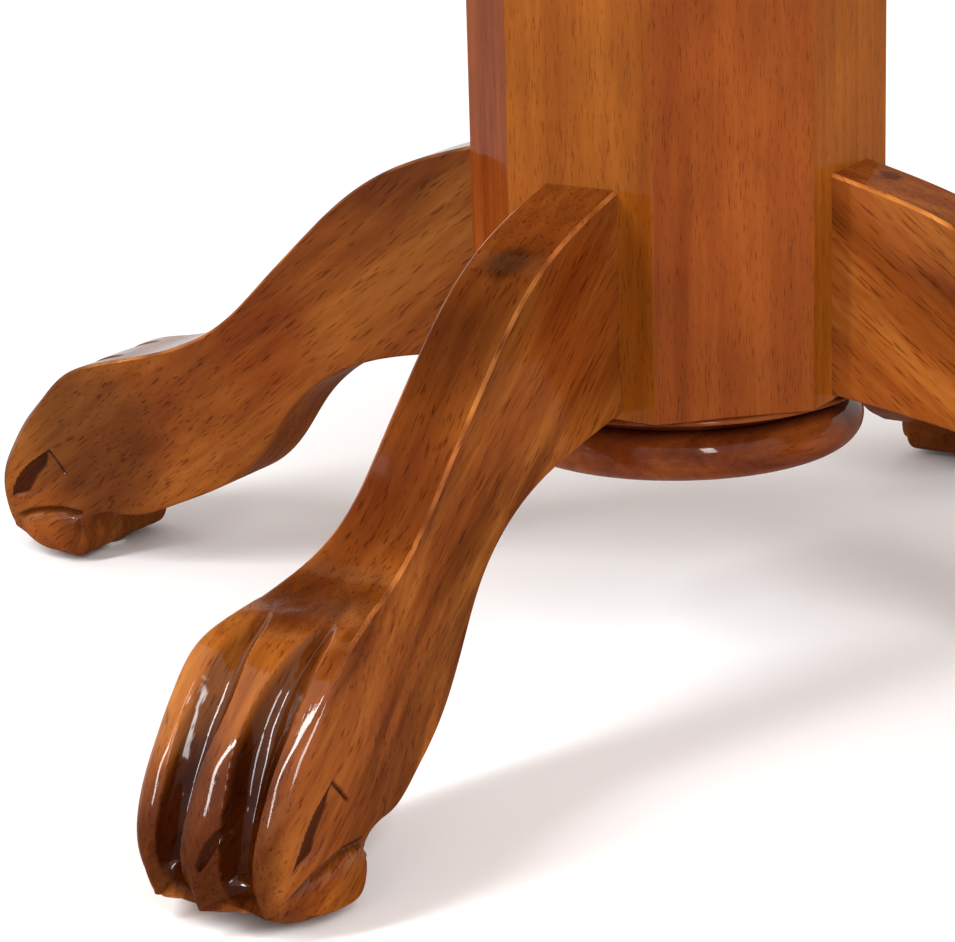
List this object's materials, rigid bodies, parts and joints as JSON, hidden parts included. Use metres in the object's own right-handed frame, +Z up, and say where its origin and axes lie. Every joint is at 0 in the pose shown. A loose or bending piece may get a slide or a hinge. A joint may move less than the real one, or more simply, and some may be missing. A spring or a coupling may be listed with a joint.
{
  "type": "round pedestal table",
  "caption": "Round dining table on an eight-sided pedestal, with a turned disc and S-curved legs that end in carved paw feet.",
  "frame": {"origin": "on the floor, on the pedestal's axis", "axes": "+Z up along the column; the legs run along X and Y"},
  "size_m": [1.2188, 1.219, 0.762],
  "materials": {
    "top_wood": "gloss lacquer over red-brown stain",
    "column_wood": "gloss lacquer over red-brown stain",
    "leg_wood": "gloss lacquer over red-brown stain",
    "disc_wood": "gloss lacquer over dark red stain",
    "inner_wood": "sanded, unfinished",
    "zinc_steel": "zinc plated",
    "glide_plastic": "moulded, matt"
  },
  "bodies": {
    "root": {"top_board_1": "top_wood", "top_board_2": "top_wood", "top_board_3": "top_wood", "top_board_4": "top_wood", "top_board_5": "top_wood", "top_board_6": "top_wood", "top_board_7": "top_wood", "top_board_8": "top_wood", "apron_segment_1": "top_wood", "apron_segment_2": "top_wood", "apron_segment_3": "top_wood", "apron_segment_4": "top_wood", "apron_segment_5": "top_wood", "apron_segment_6": "top_wood", "apron_segment_7": "top_wood", "apron_segment_8": "top_wood", "apron_block_1": "inner_wood", "apron_block_2": "inner_wood", "apron_block_3": "inner_wood", "apron_block_4": "inner_wood", "apron_block_5": "inner_wood", "apron_block_6": "inner_wood", "apron_block_7": "inner_wood", "apron_block_8": "inner_wood", "bearer_lower": "inner_wood", "bearer_upper": "inner_wood", "column_top_plug": "inner_wood", "column_bottom_plug": "inner_wood", "leg_dowels": "inner_wood", "column_stave_1": "column_wood", "column_stave_2": "column_wood", "column_stave_3": "column_wood", "column_stave_4": "column_wood", "column_stave_5": "column_wood", "column_stave_6": "column_wood", "column_stave_7": "column_wood", "column_stave_8": "column_wood", "base_disc": "disc_wood", "leg_front": "leg_wood", "leg_right": "leg_wood", "leg_rear": "leg_wood", "leg_left": "leg_wood", "tie_rod": "zinc_steel", "tie_rod_nuts": "zinc_steel", "tie_rod_washers": "zinc_steel", "leg_bolts": "zinc_steel", "leg_nuts": "zinc_steel", "leg_washers": "zinc_steel", "top_screws": "zinc_steel", "bearer_screws": "zinc_steel", "base_disc_screws": "zinc_steel", "apron_screws": "zinc_steel", "foot_glides": "glide_plastic"}
  },
  "joints": []
}
